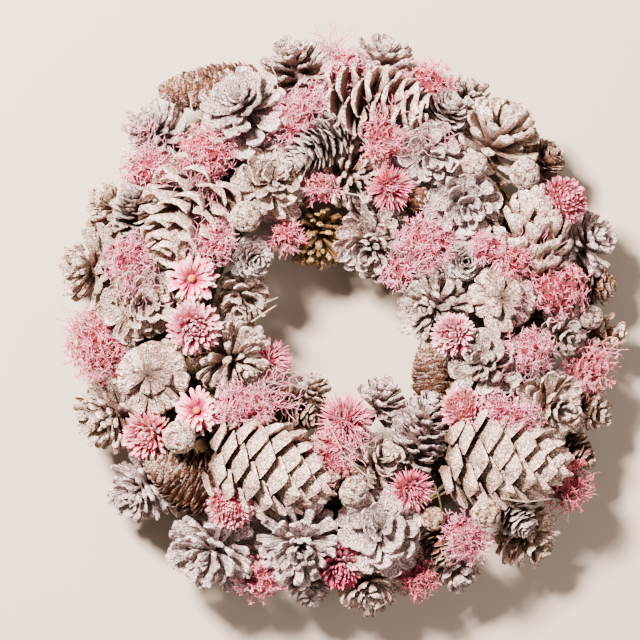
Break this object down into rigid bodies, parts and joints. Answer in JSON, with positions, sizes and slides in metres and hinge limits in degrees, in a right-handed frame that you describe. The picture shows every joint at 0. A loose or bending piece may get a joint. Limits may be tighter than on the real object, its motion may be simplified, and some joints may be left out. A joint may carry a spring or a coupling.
{
  "type": "pinecone wreath",
  "caption": "Decorative wreath of whitewashed pine cones, spruce cones, strawflowers and pink moss round a straw ring with an open middle.",
  "frame": {"origin": "middle of the wreath at the flat back that it lies on", "axes": "+Z out of the wreath's front, +Y towards its top as pictured, +X to its right seen from the front"},
  "size_m": [0.355, 0.3608, 0.0928],
  "materials": {
    "straw": "dry straw bound with twine",
    "whitewashed_scales": "brown cone scales, whitewashed, matt",
    "golden_scales": "golden-brown cone scales, matt",
    "cream_scales": "creamy white painted cone scales, matt",
    "brown_scales": "bare brown cone scales",
    "frosted_dark_scales": "dark cone scales with white edges",
    "pink_bracts": "dry papery pink bracts, some with orange centres",
    "pink_moss": "fine dyed pink moss strands"
  },
  "bodies": {
    "root": {"straw_ring": "straw", "open_cone_top": "whitewashed_scales", "open_cone_top_right": "whitewashed_scales", "slatted_cone_top": "whitewashed_scales", "open_cone_upper_left": "whitewashed_scales", "brown_spruce_cone_upper_left": "brown_scales", "open_cone_left_rim_high": "whitewashed_scales", "open_cone_left_rim": "whitewashed_scales", "maritime_cone_left": "cream_scales", "open_cone_inner_upper_left": "whitewashed_scales", "frosted_cone_top": "frosted_dark_scales", "open_cone_inner_top": "whitewashed_scales", "golden_cone_hole_top": "golden_scales", "open_cone_hole_upper_right": "whitewashed_scales", "open_cone_upper_right": "whitewashed_scales", "frosted_cone_upper_right": "frosted_dark_scales", "open_cone_right_high": "whitewashed_scales", "open_cone_inner_right_high": "whitewashed_scales", "slatted_cone_right": "whitewashed_scales", "open_cone_hole_right": "whitewashed_scales", "cone_underside_right": "cream_scales", "cone_right_rim": "whitewashed_scales", "open_cone_right": "whitewashed_scales", "brown_spruce_cone_hole_right": "brown_scales", "open_cone_lower_right": "whitewashed_scales", "frosted_cone_lower_right": "frosted_dark_scales", "maritime_cone_lower_right": "cream_scales", "open_cone_lower_right_rim": "whitewashed_scales", "cone_bottom_right": "whitewashed_scales", "open_cone_bottom_right": "whitewashed_scales", "open_cone_hole_bottom": "whitewashed_scales", "brown_cone_hole_bottom": "brown_scales", "maritime_cone_lower_left": "cream_scales", "open_cone_bottom": "whitewashed_scales", "open_cone_bottom_rim": "whitewashed_scales", "open_cone_lower_left": "whitewashed_scales", "brown_spruce_cone_lower_left": "brown_scales", "open_cone_lower_left_rim": "whitewashed_scales", "cone_underside_left": "cream_scales", "open_cone_left": "whitewashed_scales", "open_cone_hole_left": "whitewashed_scales", "strawflower_inner_top": "pink_bracts", "strawflower_right_high": "pink_bracts", "strawflower_hole_right": "pink_bracts", "strawflower_right": "pink_bracts", "strawflower_bottom_right": "pink_bracts", "strawflower_hole_bottom": "pink_bracts", "strawflowers_left_low": "pink_bracts", "strawflowers_left": "pink_bracts", "strawflower_hole_left": "pink_bracts", "strawflower_bottom_left": "pink_bracts", "strawflower_bottom": "pink_bracts", "moss_tuft_top": "pink_moss", "moss_tuft_top_right": "pink_moss", "moss_tuft_right_high": "pink_moss", "moss_tuft_upper_left": "pink_moss", "moss_tuft_right": "pink_moss", "moss_tuft_lower_right": "pink_moss", "moss_tuft_left_rim": "pink_moss", "moss_tuft_left": "pink_moss"}
  },
  "joints": []
}
